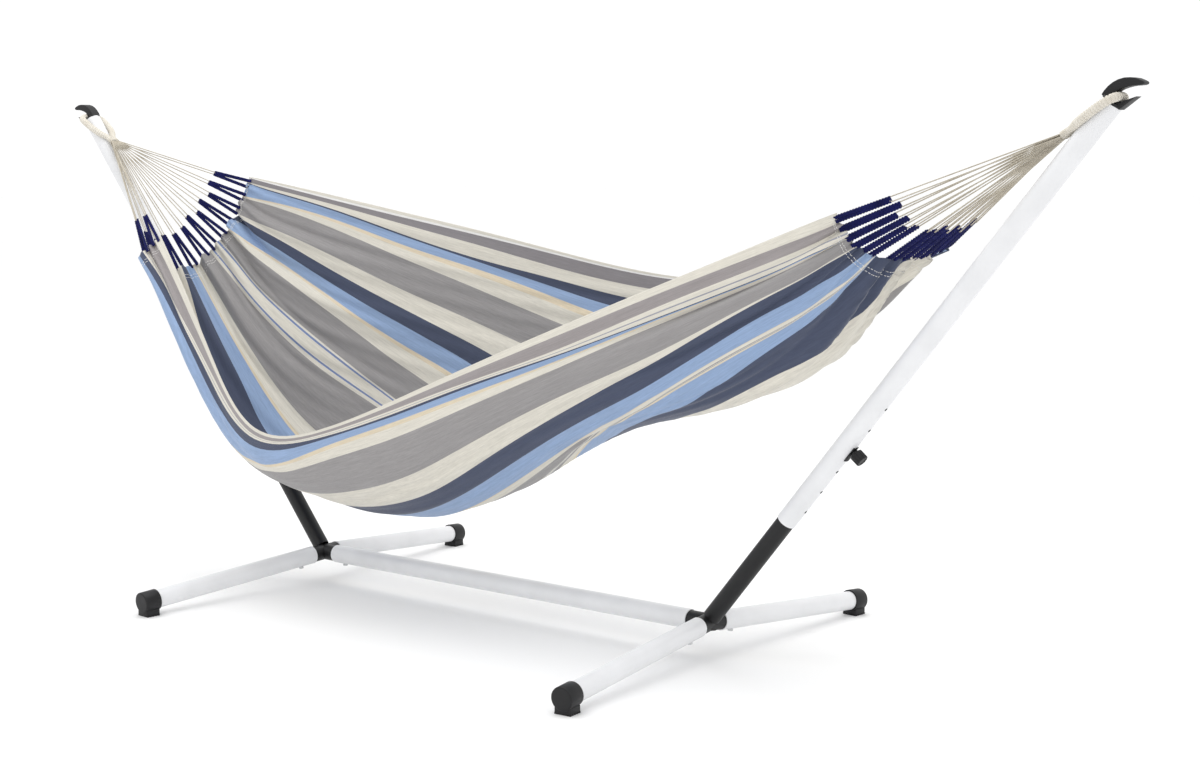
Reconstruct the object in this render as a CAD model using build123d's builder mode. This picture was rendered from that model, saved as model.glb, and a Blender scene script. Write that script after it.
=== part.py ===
from build123d import *
import math
import os

# Hammock on a steel stand, in millimetres. +X runs along the spine to the right
# arm, +Z is up, and the origin is on the floor under the middle of the spine.

# Steel tubes: white outer tubes slide over black inner ones.
TUBE_R = 25.0
TUBE_BORE_R = 23.0
STUB_R = 22.7
STUB_BORE_R = 20.7

# Stand
HUB_X = 694.0
HUB_Z = 85.0
FOOT_END = Vector(52.0, 622.0, -48.0)  # from a hub's centre to a foot cap's outer face
FOOT_TUBE_START = 45.0
SPINE_TUBE_GAP = 53.0
STUB_LENGTH = 150.0
ARM_RISE = 50.6  # degrees above the floor

# Adjustable arm: distances along it from the hub's centre
ARM_TUBE_START = 366.0
ARM_TUBE_END = 1630.0
LOWER_ARM_START = 20.0
LOWER_ARM_END = 800.0
HOLE_PITCH = 68.0
HOLE_COUNT = 6
FIRST_HOLE = 422.0
HOLE_R = 4.5
LOCKED_HOLE = 3
HOLES_DOWN = 1
HOLES_UP = 2

# Foot cap
CAP_R = 29.0
CAP_LENGTH = 48.0
CAP_END_WALL = 8.0
CAP_BASE_LENGTH = 42.0
CAP_BASE_WIDTH = 46.0
CAP_BASE_TOP = 18.0
CAP_BASE_FLARE = 6.0
CAP_GROOVES = 5
CAP_GROOVE_DEPTH = 3.0

# Lock bolt
PIN_R = 4.0
PIN_TIP_R = 17.0
SLOT_END_ROOM = 1.0
SADDLE_WALL = 2.5
SADDLE_LENGTH = 44.0
SADDLE_TONGUE = 30.0
SADDLE_SPREAD = 38.0
KNOB_NECK_R = 9.0
KNOB_R = 16.0
KNOB_NECK_TOP = 33.0
KNOB_TOP = 58.0
KNOB_FLUTES = 12
KNOB_FLUTE_R = 2.2

# Hub bolts
BOLT_R = 4.0
BOLT_HEAD_R = 7.0
BOLT_HEAD_LENGTH = 5.0
BOLT_DISTANCE = 88.0

# Hook: its mouth faces outwards and a little up
MOUTH_RISE = 18.0
HOOK_HALF_WIDTH = 15.0
HOOK_PLUG_R = 22.8
HOOK_PLUG_LENGTH = 55.0
HOOK_DISC = 6.0
BIGHT_SEAT = (20.0, 5.0)

# Rope end: a whipped loop, a seizing, then the clew cords and the braids
PULL_DROP = 32.0
ROPE_R = 7.5
ROPE_ROOM = 0.5
LOOP_LEG = [(0, 36), (50, 36.5), (95, 27), (121, 8.2), (133, 8.2)]
LOOP_CORNERS = [30, 40, 60, 34]
SEIZING_LENGTH = 16.0
SEIZING_WIDTH = 36.0
SEIZING_HEIGHT = 20.0
CLEW_COUNT = 12
CLEW_GATHER = 0.1
CORD_R = 1.25
BRAID_R = 4.0
BRAID_SHARE = 0.22
EDGE_GAP = 2.0

# The cloth is carried by seven lines that run from the left end to the right one.
# Each has its left end, then (y, z) where it crosses each station, then its right end.
CLOTH_WALL = 3.0
STATIONS = [-1050.0, -850.0, -600.0, -300.0, 50.0, 450.0, 800.0, 1050.0]
CLOTH_LINES = [
    ((-1200, -160, 997), (-205, 863), (-267, 668), (-340, 501), (-360, 521),
     (-333, 651), (-260, 818), (-182, 968), (-120, 1076), (1122, -100, 1107)),
    ((-1238, -195, 945), (-235, 700), (-272, 512), (-335, 410), (-345, 420),
     (-335, 520), (-270, 680), (-200, 820), (-130, 950), (1140, -80, 1060)),
    ((-1256, -115, 902), (-170, 662), (-190, 432), (-220, 325), (-230, 312),
     (-220, 392), (-170, 575), (-120, 690), (-70, 860), (1158, -30, 1018)),
    ((-1246, -20, 902), (-60, 662), (-50, 415), (-60, 285), (-60, 252),
     (-50, 330), (-30, 545), (10, 642), (40, 800), (1170, 40, 1002)),
    ((-1190, 50, 980), (30, 760), (70, 570), (120, 440), (140, 410),
     (140, 465), (140, 620), (140, 705), (150, 830), (1185, 120, 1000)),
    ((-1135, 80, 1080), (90, 940), (140, 825), (200, 745), (240, 705),
     (250, 705), (240, 760), (220, 820), (210, 910), (1205, 200, 1008)),
    ((-1100, 100, 1169), (120, 1160), (180, 1120), (240, 1070), (275, 1017),
     (290, 955), (285, 912), (260, 935), (250, 985), (1222, 260, 1032)),
]

SIDES = {"left": -1, "right": 1}
DEPTHS = {"near": -1, "far": 1}

os.makedirs("parts", exist_ok=True)


def save(piece, name):
    piece.part.label = name
    export_step(piece.part, f"parts/{name}.step")


def hub_centre(side):
    return Vector(side * HUB_X, 0, HUB_Z)


def arm_direction(side):
    rise = math.radians(ARM_RISE)
    return Vector(side * math.cos(rise), 0, math.sin(rise))


def under_arm(side):
    """The direction square to the arm that faces outwards and down."""
    rise = math.radians(ARM_RISE)
    return Vector(side * math.sin(rise), 0, -math.cos(rise))


def foot_direction(side, depth):
    return Vector(side * FOOT_END.X, depth * FOOT_END.Y, FOOT_END.Z).normalized()


def along(start, direction, distance):
    """A plane across the direction, a distance along it from the start."""
    return Plane(origin=start + direction * distance, x_dir=(0, 0, 1), z_dir=direction)


def across_arm(side, distance, out=0.0):
    """A plane that faces out of the arm's underside, a distance along the arm."""
    origin = hub_centre(side) + arm_direction(side) * distance + under_arm(side) * out
    return Plane(origin=origin, x_dir=arm_direction(side), z_dir=under_arm(side))


# Spine: one white tube over the stubs of both hubs
with BuildPart() as spine_tube:
    with BuildSketch(Plane.YZ.offset(SPINE_TUBE_GAP - HUB_X)):
        with Locations((0, HUB_Z)):
            Circle(TUBE_R)
            Circle(TUBE_BORE_R, mode=Mode.SUBTRACT)
    extrude(amount=2 * (HUB_X - SPINE_TUBE_GAP))
    for side in SIDES.values():
        bolt_x = side * (HUB_X - BOLT_DISTANCE)
        with BuildSketch(Plane.XY.offset(HUB_Z - TUBE_R - 1)):
            with Locations((bolt_x, 0)):
                Circle(BOLT_R + 0.3)
        extrude(amount=TUBE_R, mode=Mode.SUBTRACT)
save(spine_tube, "spine_tube")


def make_hub(side):
    """A black weldment of three tube stubs round a solid core."""
    centre = hub_centre(side)
    directions = [Vector(-side, 0, 0), foot_direction(side, -1), foot_direction(side, 1)]
    with BuildPart() as hub:
        for direction in directions:
            with BuildSketch(along(centre, direction, 0)):
                Circle(STUB_R)
            extrude(amount=STUB_LENGTH)
        with BuildSketch(Plane(origin=centre, x_dir=(0, 1, 0), z_dir=(side, 0, 0))):
            Circle(STUB_R)
        extrude(amount=STUB_R, taper=12)
        for direction in directions:
            with BuildSketch(along(centre, direction, STUB_R + 8)):
                Circle(STUB_BORE_R)
            extrude(amount=STUB_LENGTH, mode=Mode.SUBTRACT)
            with BuildSketch(bolt_plane(centre, direction)):
                Circle(BOLT_R)
            extrude(amount=-TUBE_R, mode=Mode.SUBTRACT)
    return hub


def bolt_plane(centre, direction):
    """A plane under a tube at its bolt, facing away from the tube."""
    level = Vector(direction.Y, -direction.X, 0)
    down = direction.cross(level).normalized()
    if down.Z > 0:
        down = -down
    origin = centre + direction * BOLT_DISTANCE + down * TUBE_R
    return Plane(origin=origin, x_dir=direction, z_dir=down)


def make_lower_arm(side, hub):
    """A black tube welded on the hub, with a hidden slot that guides the lock bolt."""
    slot_low = FIRST_HOLE + HOLE_PITCH * (LOCKED_HOLE - HOLES_DOWN)
    slot_high = FIRST_HOLE + HOLE_PITCH * (LOCKED_HOLE + HOLES_UP)
    with BuildPart() as arm:
        with BuildSketch(along(hub_centre(side), arm_direction(side), LOWER_ARM_START)):
            Circle(STUB_R)
            Circle(STUB_BORE_R, mode=Mode.SUBTRACT)
        extrude(amount=LOWER_ARM_END - LOWER_ARM_START)
        with BuildSketch(across_arm(side, (slot_low + slot_high) / 2)):
            SlotOverall(slot_high - slot_low + 2 * (HOLE_R + SLOT_END_ROOM), 2 * HOLE_R)
        extrude(amount=TUBE_R + 5, mode=Mode.SUBTRACT)
        add(hub.part, mode=Mode.SUBTRACT)
    return arm


def make_foot_tube(side, depth):
    direction = foot_direction(side, depth)
    centre = hub_centre(side)
    with BuildPart() as tube:
        with BuildSketch(along(centre, direction, FOOT_TUBE_START)):
            Circle(TUBE_R)
            Circle(TUBE_BORE_R, mode=Mode.SUBTRACT)
        extrude(amount=FOOT_END.length - CAP_END_WALL - FOOT_TUBE_START)
        with BuildSketch(bolt_plane(centre, direction).offset(1)):
            Circle(BOLT_R + 0.3)
        extrude(amount=-TUBE_R, mode=Mode.SUBTRACT)
    return tube


def make_foot_cap(side, depth):
    """A closed socket on a block with a ribbed sole that stands flat on the floor."""
    direction = foot_direction(side, depth)
    centre = hub_centre(side)
    middle = centre + direction * (FOOT_END.length - CAP_LENGTH / 2)
    sole = Plane(origin=(middle.X, middle.Y, 0), x_dir=(direction.X, direction.Y, 0), z_dir=(0, 0, 1))
    with BuildPart() as cap:
        with BuildSketch(along(centre, direction, FOOT_END.length - CAP_LENGTH)):
            Circle(CAP_R)
        extrude(amount=CAP_LENGTH)
        chamfer(cap.edges().filter_by(GeomType.CIRCLE), 2.5)
        with BuildSketch(sole):
            Rectangle(CAP_BASE_LENGTH, CAP_BASE_WIDTH)
        extrude(amount=CAP_BASE_TOP, taper=CAP_BASE_FLARE)
        with BuildSketch(along(centre, direction, FOOT_END.length - CAP_LENGTH - 1)):
            Circle(TUBE_R)
        extrude(amount=CAP_LENGTH + 1 - CAP_END_WALL, mode=Mode.SUBTRACT)
        pitch = CAP_BASE_LENGTH / CAP_GROOVES
        with BuildSketch(sole):
            with GridLocations(pitch, 1, CAP_GROOVES - 1, 1):
                Rectangle(pitch / 3, CAP_BASE_WIDTH + 10)
        extrude(amount=CAP_GROOVE_DEPTH, mode=Mode.SUBTRACT)
    return cap


def make_hub_bolts(side):
    """Three bolts from below, through each white tube into its stub."""
    centre = hub_centre(side)
    directions = [Vector(-side, 0, 0), foot_direction(side, -1), foot_direction(side, 1)]
    with BuildPart() as bolts:
        for direction in directions:
            with BuildSketch(bolt_plane(centre, direction).offset(0.4)):
                RegularPolygon(BOLT_HEAD_R, 6)
            extrude(amount=BOLT_HEAD_LENGTH)
            with BuildSketch(bolt_plane(centre, direction).offset(0.4)):
                Circle(BOLT_R - 0.1)
            extrude(amount=-(TUBE_R - STUB_BORE_R + 4))
    return bolts


def make_arm_tube(side):
    """The white arm tube with its row of adjustment holes along the underside."""
    with BuildPart() as tube:
        with BuildSketch(along(hub_centre(side), arm_direction(side), ARM_TUBE_START)):
            Circle(TUBE_R)
            Circle(TUBE_BORE_R, mode=Mode.SUBTRACT)
        extrude(amount=ARM_TUBE_END - ARM_TUBE_START)
        for hole in range(HOLE_COUNT):
            with BuildSketch(across_arm(side, FIRST_HOLE + hole * HOLE_PITCH, 15)):
                Circle(HOLE_R)
            extrude(amount=15, mode=Mode.SUBTRACT)
    return tube


def lock_distance():
    return FIRST_HOLE + LOCKED_HOLE * HOLE_PITCH


def make_saddle(side):
    """A thin curved washer between knob and tube, with a tongue towards the hub."""
    low = lock_distance() - SADDLE_LENGTH / 2 - SADDLE_TONGUE
    length = SADDLE_LENGTH + SADDLE_TONGUE
    inner = TUBE_R + 0.1
    with BuildPart() as saddle:
        with BuildSketch(along(hub_centre(side), arm_direction(side), low)):
            Circle(inner + SADDLE_WALL)
            Circle(inner, mode=Mode.SUBTRACT)
        extrude(amount=length)
        with BuildSketch(across_arm(side, lock_distance() - SADDLE_TONGUE / 2)):
            Rectangle(length, SADDLE_SPREAD)
            fillet(vertices(), 8)
        extrude(amount=2 * TUBE_R, mode=Mode.INTERSECT)
        with BuildSketch(across_arm(side, low + SADDLE_TONGUE / 2 - 2)):
            with Locations((0, SADDLE_SPREAD / 2 + 2), (0, -SADDLE_SPREAD / 2 - 2)):
                RectangleRounded(SADDLE_TONGUE + 6, SADDLE_SPREAD - 14, 4)
        extrude(amount=2 * TUBE_R, mode=Mode.SUBTRACT)
        with BuildSketch(across_arm(side, lock_distance())):
            Circle(PIN_R + 0.3)
        extrude(amount=2 * TUBE_R, mode=Mode.SUBTRACT)
    return saddle


def make_lock_pin(side):
    with BuildPart() as pin:
        with BuildSketch(across_arm(side, lock_distance(), PIN_TIP_R)):
            Circle(PIN_R)
        extrude(amount=KNOB_NECK_TOP - PIN_TIP_R + 10)
        chamfer(pin.edges().filter_by(GeomType.CIRCLE), 0.8)
    return pin


def make_lock_knob(side):
    """A fluted barrel knob on a short neck, moulded round the end of the bolt."""
    neck_foot = TUBE_R + SADDLE_WALL + 0.4
    with BuildPart() as knob:
        with BuildSketch(across_arm(side, lock_distance(), neck_foot)):
            Circle(KNOB_NECK_R)
        extrude(amount=KNOB_NECK_TOP - neck_foot)
        with BuildSketch(across_arm(side, lock_distance(), KNOB_NECK_TOP)):
            Circle(KNOB_R)
            with PolarLocations(KNOB_R + KNOB_FLUTE_R / 2, KNOB_FLUTES):
                Circle(KNOB_FLUTE_R, mode=Mode.SUBTRACT)
        extrude(amount=KNOB_TOP - KNOB_NECK_TOP)
        top = knob.faces().sort_by_distance(across_arm(side, lock_distance(), KNOB_TOP).origin)[0]
        chamfer(top.edges(), 1.5)
        with BuildSketch(across_arm(side, lock_distance(), neck_foot - 1)):
            Circle(PIN_R)
        extrude(amount=KNOB_NECK_TOP + 10 - neck_foot + 1, mode=Mode.SUBTRACT)
    return knob


def mouth_plane(side):
    """The hook's own plane: x out through its mouth, y up, at the arm tube's end."""
    rise = math.radians(MOUTH_RISE)
    end = hub_centre(side) + arm_direction(side) * ARM_TUBE_END
    return Plane(origin=end, x_dir=(side * math.cos(rise), 0, math.sin(rise)), z_dir=(0, -side, 0))


def pull_direction(side):
    """The way the hammock pulls on its hook."""
    drop = math.radians(PULL_DROP)
    return Vector(-side * math.cos(drop), 0, -math.sin(drop))


def bight(side):
    """The middle of the rope where it lies in the hook's mouth."""
    return mouth_plane(side).from_local_coords(Vector(*BIGHT_SEAT, 0))


def make_rope(side, radius):
    """The whipped loop: over the hook, down both sides of the tube, to the seizing."""
    normal = pull_direction(side).cross(Vector(0, 1, 0))
    plane = Plane(origin=bight(side), x_dir=pull_direction(side), z_dir=normal)
    route = [(reach, -spread) for reach, spread in reversed(LOOP_LEG)] + LOOP_LEG
    corners = LOOP_CORNERS + LOOP_CORNERS[::-1]
    with BuildPart() as rope:
        with BuildLine(plane) as path:
            FilletPolyline(*route, radius=corners)
        with BuildSketch(Plane(origin=path.line @ 0, z_dir=path.line % 0)):
            Circle(radius)
        sweep(path=path.line)
    return rope


def make_hook(side):
    """A black moulded end: plug, disc, a curved horn above and a fin below the mouth."""
    tube_end = along(hub_centre(side), arm_direction(side), ARM_TUBE_END)
    with BuildPart() as hook:
        with BuildSketch(mouth_plane(side)):
            with BuildLine():
                crown = Spline((-13.5, 21.4), (5, 33), (30, 39), (57, 34), (77, 21))
                tip = ThreePointArc(crown @ 1, (82, 13.5), (75, 11))
                roof = Spline(tip @ 1, (58, 15.5), (38, 18), (22, 17))
                throat = ThreePointArc(roof @ 1, (10, 5), (22, -7))
                Polyline(throat @ 1, (58, -7.5), (14.3, -21.9), (-13.3, 21.2), (-13.5, 21.4))
            make_face()
        extrude(amount=HOOK_HALF_WIDTH, both=True)
        with BuildSketch(tube_end):
            Circle(TUBE_R)
        extrude(amount=HOOK_DISC)
        with BuildSketch(tube_end):
            Circle(HOOK_PLUG_R)
        extrude(amount=-HOOK_PLUG_LENGTH)
        add(make_rope(side, ROPE_R + ROPE_ROOM).part, mode=Mode.SUBTRACT)
    return hook


def make_seizing(side):
    """The binding that gathers both legs of the loop where the cords leave it."""
    pull = pull_direction(side)
    start = bight(side) + pull * LOOP_LEG[-1][0]
    with BuildPart() as seizing:
        with BuildSketch(Plane(origin=start, x_dir=(0, 1, 0), z_dir=pull)):
            RectangleRounded(SEIZING_WIDTH, SEIZING_HEIGHT, SEIZING_HEIGHT / 2 - 1)
        extrude(amount=SEIZING_LENGTH)
        chamfer(seizing.faces().sort_by(Axis(start, pull))[0].edges(), 1.5)
        chamfer(seizing.faces().sort_by(Axis(start, pull))[-1].edges(), 1.5)
    return seizing


def heading(side):
    """The curve along the cloth's end, from its near corner to its far one."""
    end = 0 if side < 0 else -1
    return Edge.make_spline([Vector(*line[end]) for line in CLOTH_LINES])


def make_rods(ends, radius):
    """Straight round rods, one between each pair of points."""
    with BuildPart() as rods:
        for start, finish in ends:
            with BuildSketch(Plane(origin=start, z_dir=finish - start)):
                Circle(radius)
            extrude(amount=(finish - start).length)
    return rods


def clew_points(side):
    """For each clew cord: its end at the seizing, its braid's tip and the cloth's edge."""
    pull = pull_direction(side)
    root = bight(side) + pull * (LOOP_LEG[-1][0] + SEIZING_LENGTH)
    edges = [heading(side).position_at((cord + 0.5) / CLEW_COUNT) for cord in range(CLEW_COUNT)]
    middle = sum(edges, Vector(0, 0, 0)) / CLEW_COUNT
    points = []
    for edge in edges:
        offset = (edge - middle) * CLEW_GATHER
        start = root + offset + pull * (1 - offset.dot(pull))
        edge = edge + (start - edge).normalized() * EDGE_GAP
        points.append((start, edge + (start - edge) * BRAID_SHARE, edge))
    return points


for name, side in SIDES.items():
    hub = make_hub(side)
    save(hub, f"{name}_hub")
    save(make_lower_arm(side, hub), f"{name}_lower_arm")
    save(make_hub_bolts(side), f"{name}_hub_bolts")
    for depth_name, depth in DEPTHS.items():
        save(make_foot_tube(side, depth), f"{name}_{depth_name}_foot_tube")
        save(make_foot_cap(side, depth), f"{name}_{depth_name}_foot_cap")
    save(make_arm_tube(side), f"{name}_arm_tube")
    save(make_saddle(side), f"{name}_saddle")
    save(make_lock_pin(side), f"{name}_lock_pin")
    save(make_lock_knob(side), f"{name}_lock_knob")
    save(make_hook(side), f"{name}_hook")
    save(make_rope(side, ROPE_R), f"{name}_end_loop")
    save(make_seizing(side), f"{name}_seizing")
    clew = clew_points(side)
    save(make_rods([(start, tip) for start, tip, edge in clew], CORD_R), f"{name}_clew_cords")
    save(make_rods([(tip, edge) for start, tip, edge in clew], BRAID_R), f"{name}_braids")

# Cloth: one woven sheet, given its hung shape by the seven lines
rows = []
for line in CLOTH_LINES:
    inner = [Vector(x, y, z) for x, (y, z) in zip(STATIONS, line[1:-1])]
    rows.append([Vector(*line[0])] + inner + [Vector(*line[-1])])
with BuildPart() as hammock_cloth:
    thicken(Face.make_surface_from_array_of_points(rows), amount=CLOTH_WALL / 2, both=True)
save(hammock_cloth, "hammock_cloth")

for name, side in SIDES.items():
    print(name, "bight", bight(side), "seizing end", clew_points(side)[0][0])
print("cloth volume", hammock_cloth.part.volume, "centre", hammock_cloth.part.center(CenterOf.MASS))
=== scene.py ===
import math
import bmesh
import bpy
import numpy as np
from mathutils import Matrix, Vector


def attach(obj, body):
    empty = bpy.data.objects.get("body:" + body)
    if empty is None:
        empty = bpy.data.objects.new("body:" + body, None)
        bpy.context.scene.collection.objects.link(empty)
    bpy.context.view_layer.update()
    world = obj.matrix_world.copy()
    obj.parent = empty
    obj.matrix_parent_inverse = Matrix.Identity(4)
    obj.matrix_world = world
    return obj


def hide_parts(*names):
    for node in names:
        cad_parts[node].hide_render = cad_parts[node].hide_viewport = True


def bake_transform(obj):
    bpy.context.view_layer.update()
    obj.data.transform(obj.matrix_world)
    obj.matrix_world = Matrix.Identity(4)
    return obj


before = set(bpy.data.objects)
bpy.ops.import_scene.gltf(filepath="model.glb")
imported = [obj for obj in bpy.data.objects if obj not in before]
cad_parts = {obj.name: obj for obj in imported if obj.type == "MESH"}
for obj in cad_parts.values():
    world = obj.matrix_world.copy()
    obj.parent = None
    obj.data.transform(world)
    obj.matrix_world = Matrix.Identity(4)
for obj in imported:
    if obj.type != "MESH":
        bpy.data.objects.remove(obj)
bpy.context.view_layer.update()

# Camera, at standing height in front of the right arm, looking along the hammock
# towards its left end.
camera_data = bpy.data.cameras.new("camera")
camera_data.sensor_width = 36
camera_data.lens = 59.07
camera = bpy.data.objects.new("camera", camera_data)
camera.location = (3.521, -3.857, 1.265)
camera.rotation_euler = (math.radians(82.915), math.radians(0.27), math.radians(39.38))
bpy.context.scene.collection.objects.link(camera)
bpy.context.scene.camera = camera

# Clew cords: thin cream cotton loops that fan out from the seizing at each end, each
# through the tip of one braid and back. They are the lines that carry the cloth.
LOOPS = 14
CORD = 0.003
HUB_OUT, HUB_UP = 0.694, 0.085
ARM_LENGTH = 1.63
ARM_RISE = math.radians(50.6)
HOOK_TILT = math.radians(18)
LOOP_DROP = math.radians(32)
SEIZING_START = 0.133
CORDS_START = 0.1495
BRAID_REACH = 0.235
SIDES = {"left": -1, "right": 1}

# The seven lines that carry the cloth: left end, then (y, z) at each station, right end.
STATIONS = (-1.05, -0.85, -0.6, -0.3, 0.05, 0.45, 0.8, 1.05)
CLOTH_LINES = (
    ((-1.2, -0.16, 0.997), (-0.205, 0.863), (-0.267, 0.668), (-0.34, 0.501), (-0.36, 0.521),
     (-0.333, 0.651), (-0.26, 0.818), (-0.182, 0.968), (-0.12, 1.076), (1.122, -0.1, 1.107)),
    ((-1.238, -0.195, 0.945), (-0.235, 0.7), (-0.272, 0.512), (-0.335, 0.41), (-0.345, 0.42),
     (-0.335, 0.52), (-0.27, 0.68), (-0.2, 0.82), (-0.13, 0.95), (1.14, -0.08, 1.06)),
    ((-1.256, -0.115, 0.902), (-0.17, 0.662), (-0.19, 0.432), (-0.22, 0.325), (-0.23, 0.312),
     (-0.22, 0.392), (-0.17, 0.575), (-0.12, 0.69), (-0.07, 0.86), (1.158, -0.03, 1.018)),
    ((-1.246, -0.02, 0.902), (-0.06, 0.662), (-0.05, 0.415), (-0.06, 0.285), (-0.06, 0.252),
     (-0.05, 0.33), (-0.03, 0.545), (0.01, 0.642), (0.04, 0.8), (1.17, 0.04, 1.002)),
    ((-1.19, 0.05, 0.98), (0.03, 0.76), (0.07, 0.57), (0.12, 0.44), (0.14, 0.41),
     (0.14, 0.465), (0.14, 0.62), (0.14, 0.705), (0.15, 0.83), (1.185, 0.12, 1.0)),
    ((-1.135, 0.08, 1.08), (0.09, 0.94), (0.14, 0.825), (0.2, 0.745), (0.24, 0.705),
     (0.25, 0.705), (0.24, 0.76), (0.22, 0.82), (0.21, 0.91), (1.205, 0.2, 1.008)),
    ((-1.1, 0.1, 1.169), (0.12, 1.16), (0.18, 1.12), (0.24, 1.07), (0.275, 1.017),
     (0.29, 0.955), (0.285, 0.912), (0.26, 0.935), (0.25, 0.985), (1.222, 0.26, 1.032)),
)


def bend_through(knots, values, where):
    """A smooth line through the values at the knots, read at other places along it."""
    knots, values, where = (np.array(part, float) for part in (knots, values, where))
    gaps = np.diff(knots)
    slopes = np.diff(values, axis=0) / gaps[:, None]
    stiff = np.eye(len(knots))
    load = np.zeros_like(values)
    for i in range(1, len(knots) - 1):
        stiff[i, i - 1:i + 2] = gaps[i - 1], 2 * (gaps[i - 1] + gaps[i]), gaps[i]
        load[i] = 6 * (slopes[i] - slopes[i - 1])
    curl = np.linalg.solve(stiff, load)
    left = np.clip(np.searchsorted(knots, where, side="right") - 1, 0, len(gaps) - 1)
    gap = gaps[left][:, None]
    a = (knots[left + 1] - where)[:, None] / gap
    b = 1 - a
    return (a * values[left] + b * values[left + 1]
            + ((a ** 3 - a) * curl[left] + (b ** 3 - b) * curl[left + 1]) * gap ** 2 / 6)


def distances(points):
    """How far along a line each of its points is."""
    steps = np.linalg.norm(np.diff(points, axis=0), axis=1)
    return np.concatenate([[0], np.cumsum(steps)])


def heading_points(side, shares):
    """Points on the cloth's end edge, at shares of its length from the near corner."""
    ends = np.array([line[0 if side < 0 else -1] for line in CLOTH_LINES])
    fine = bend_through(distances(ends), ends, np.linspace(0, distances(ends)[-1], 400))
    run = distances(fine)
    where = np.array(shares) * run[-1]
    return [Vector([np.interp(w, run, fine[:, axis]) for axis in range(3)]) for w in where]


def pull(side):
    """The way the end loop is pulled, down and inwards from its hook."""
    return Vector((-side * math.cos(LOOP_DROP), 0, -math.sin(LOOP_DROP)))


def hook_axes(side):
    """The arm's top end, and the hook's directions out along its mouth and up across it."""
    end = Vector((side * (HUB_OUT + ARM_LENGTH * math.cos(ARM_RISE)), 0,
                  HUB_UP + ARM_LENGTH * math.sin(ARM_RISE)))
    out = Vector((side * math.cos(HOOK_TILT), 0, math.sin(HOOK_TILT)))
    up = Vector((-side * math.sin(HOOK_TILT), 0, math.cos(HOOK_TILT)))
    return end, out, up


def bight(side):
    """Where the end loop's middle lies in the hook's mouth."""
    reach, lift = 0.020, 0.005
    end, out, up = hook_axes(side)
    return end + out * reach + up * lift


def soft_line(points):
    """The smooth line of a cord whose control points are given."""
    data = bpy.data.curves.new("line", "CURVE")
    data.dimensions = "3D"
    data.resolution_u = 16
    spline = data.splines.new("NURBS")
    spline.points.add(len(points) - 1)
    for control, point in zip(spline.points, points):
        control.co = (*point, 1)
    spline.order_u = 3
    spline.use_endpoint_u = True
    line = bpy.data.objects.new("line", data)
    mesh = bpy.data.meshes.new_from_object(line)
    found = [vertex.co.copy() for vertex in mesh.vertices]
    bpy.data.objects.remove(line)
    bpy.data.meshes.remove(mesh)
    return found


def round_cords(name, lines, radius, swell=None, sides=2):
    """One mesh of round cords along the lines, thicker and thinner as swell says."""
    data = bpy.data.curves.new(name, "CURVE")
    data.dimensions = "3D"
    data.bevel_depth = radius
    data.bevel_resolution = sides
    data.use_fill_caps = True
    for line in lines:
        spline = data.splines.new("POLY")
        spline.points.add(len(line) - 1)
        run = 0
        for i, point in enumerate(line):
            run += (point - line[i - 1]).length if i else 0
            spline.points[i].co = (*point, 1)
            spline.points[i].radius = swell(run) if swell else 1
    curve = bpy.data.objects.new(name, data)
    mesh = bpy.data.meshes.new_from_object(curve)
    bpy.data.objects.remove(curve)
    mesh.name = name
    mesh.shade_smooth()
    piece = bpy.data.objects.new(name, mesh)
    bpy.context.scene.collection.objects.link(piece)
    return piece


def plain_shader(name):
    """A new material, its node tree and its main shader."""
    material = bpy.data.materials.new(name)
    material.use_nodes = True
    return material, material.node_tree, material.node_tree.nodes["Principled BSDF"]


def add_node(tree, kind, **settings):
    """A node of a kind, with its inputs set by name."""
    node = tree.nodes.new(kind)
    for key, value in settings.items():
        if hasattr(node, key):
            setattr(node, key, value)
        else:
            node.inputs[key].default_value = value
    return node


def twisted_cotton(name, dark, light, turns, sheen=0.2):
    """Cotton yarn: fine slanting twist lines, uneven colour and a soft sheen."""
    material, tree, shader = plain_shader(name)
    where = add_node(tree, "ShaderNodeTexCoord")
    twist = add_node(tree, "ShaderNodeTexWave", wave_type="BANDS", bands_direction="DIAGONAL",
                     Scale=turns)
    twist.inputs["Distortion"].default_value = 1.5
    fluff = add_node(tree, "ShaderNodeTexNoise", Scale=900.0, Detail=4.0)
    patches = add_node(tree, "ShaderNodeTexNoise", Scale=25.0, Detail=3.0)
    tree.links.new(where.outputs["Object"], twist.inputs["Vector"])
    tree.links.new(where.outputs["Object"], fluff.inputs["Vector"])
    tree.links.new(where.outputs["Object"], patches.inputs["Vector"])
    both = add_node(tree, "ShaderNodeMath", operation="MULTIPLY")
    tree.links.new(twist.outputs["Fac"], both.inputs[0])
    tree.links.new(patches.outputs["Fac"], both.inputs[1])
    colours = add_node(tree, "ShaderNodeValToRGB")
    colours.color_ramp.elements[0].color = (*dark, 1)
    colours.color_ramp.elements[0].position = 0.1
    colours.color_ramp.elements[1].color = (*light, 1)
    colours.color_ramp.elements[1].position = 0.55
    tree.links.new(both.outputs[0], colours.inputs[0])
    tree.links.new(colours.outputs["Color"], shader.inputs["Base Color"])
    height = add_node(tree, "ShaderNodeMath", operation="ADD")
    tree.links.new(twist.outputs["Fac"], height.inputs[0])
    tree.links.new(fluff.outputs["Fac"], height.inputs[1])
    bump = add_node(tree, "ShaderNodeBump", Strength=0.5, Distance=0.0004)
    tree.links.new(height.outputs[0], bump.inputs["Height"])
    tree.links.new(bump.outputs["Normal"], shader.inputs["Normal"])
    shader.inputs["Roughness"].default_value = 0.9
    shader.inputs["Sheen Weight"].default_value = sheen
    shader.inputs["Specular IOR Level"].default_value = 0.2
    shader.inputs["Sheen Roughness"].default_value = 0.5
    return material


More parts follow.
